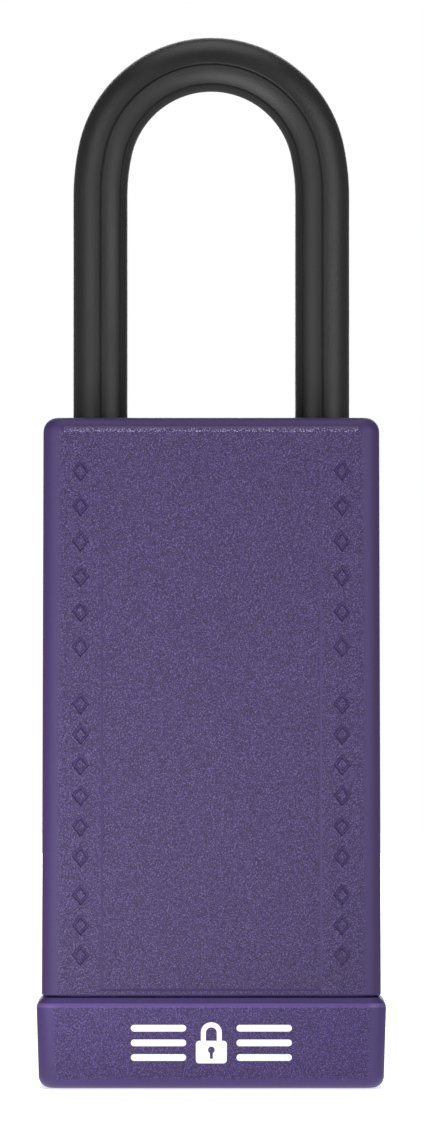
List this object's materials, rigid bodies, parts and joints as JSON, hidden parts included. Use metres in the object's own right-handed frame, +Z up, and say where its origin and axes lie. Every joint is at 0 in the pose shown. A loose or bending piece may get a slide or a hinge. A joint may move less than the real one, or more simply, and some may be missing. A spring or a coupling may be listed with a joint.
{
  "type": "safety padlock",
  "caption": "Safety padlock with a tall insulated plastic-covered body, a key cylinder in its base and a plastic-coated steel shackle that lifts to open.",
  "frame": {"origin": "centre of the base cap's bottom face", "axes": "+Z up along the body to the shackle, +X to the toe leg, which comes free, -Y out of the front face"},
  "size_m": [0.0418, 0.0212, 0.1257],
  "materials": {
    "cover_nylon": "spark-eroded moulded polyamide, purple",
    "cap_nylon": "spark-eroded moulded polyamide, purple",
    "shackle_coating": "satin black moulded polyamide",
    "body_aluminium": "drawn and machined",
    "hardened_steel": "hardened and plated",
    "plated_steel": "polished",
    "spring_steel": "drawn wire",
    "cylinder_brass": "turned and drilled",
    "pin_bronze": "turned",
    "cam_brass": "turned and milled",
    "rod_steel": "turned",
    "tube_acetal": "natural acetal, extruded"
  },
  "bodies": {
    "case": {"body_cover": "cover_nylon", "base_cap": "cap_nylon", "lock_body": "body_aluminium", "side_plug": "body_aluminium", "heel_pin": "hardened_steel", "shackle_spring": "spring_steel", "spacer_tube": "tube_acetal", "thrust_washer": "pin_bronze", "cylinder_housing": "cylinder_brass", "driver_pins": "pin_bronze", "pin_springs": "spring_steel", "chamber_cover": "cylinder_brass", "cylinder_pin": "hardened_steel"},
    "shackle": {"shackle": "hardened_steel", "shackle_sleeve": "shackle_coating"},
    "plug": {"cylinder_plug": "cylinder_brass", "plug_circlip": "spring_steel", "key_pins": "pin_bronze", "drill_guard_pins": "hardened_steel", "drive_rod": "rod_steel", "actuator_cam": "cam_brass"},
    "toe_ball": {"ball_toe": "plated_steel"},
    "heel_ball": {"ball_heel": "plated_steel"}
  },
  "joints": [
    {"name": "shackle_lift", "type": "slide", "parent": "case", "child": "shackle", "axis": [0, 0, 1], "range_m": [0, 0.0148], "deforming": ["shackle_spring"]},
    {"name": "plug_turn", "type": "hinge", "parent": "case", "child": "plug", "pos_m": [0, 0, 0.02], "axis": [0, 0, 1], "range_deg": [0, 90]},
    {"name": "ball_toe_slide", "type": "slide", "parent": "case", "child": "toe_ball", "axis": [1, 0, 0], "range_m": [0, 0.0011]},
    {"name": "ball_heel_slide", "type": "slide", "parent": "case", "child": "heel_ball", "axis": [-1, 0, 0], "range_m": [0, 0.0011]}
  ],
  "couplings": [
    {"joint": "ball_toe_slide", "follows": "plug_turn", "m_per_rad": 0.0007},
    {"joint": "ball_heel_slide", "follows": "plug_turn", "m_per_rad": 0.0007}
  ]
}
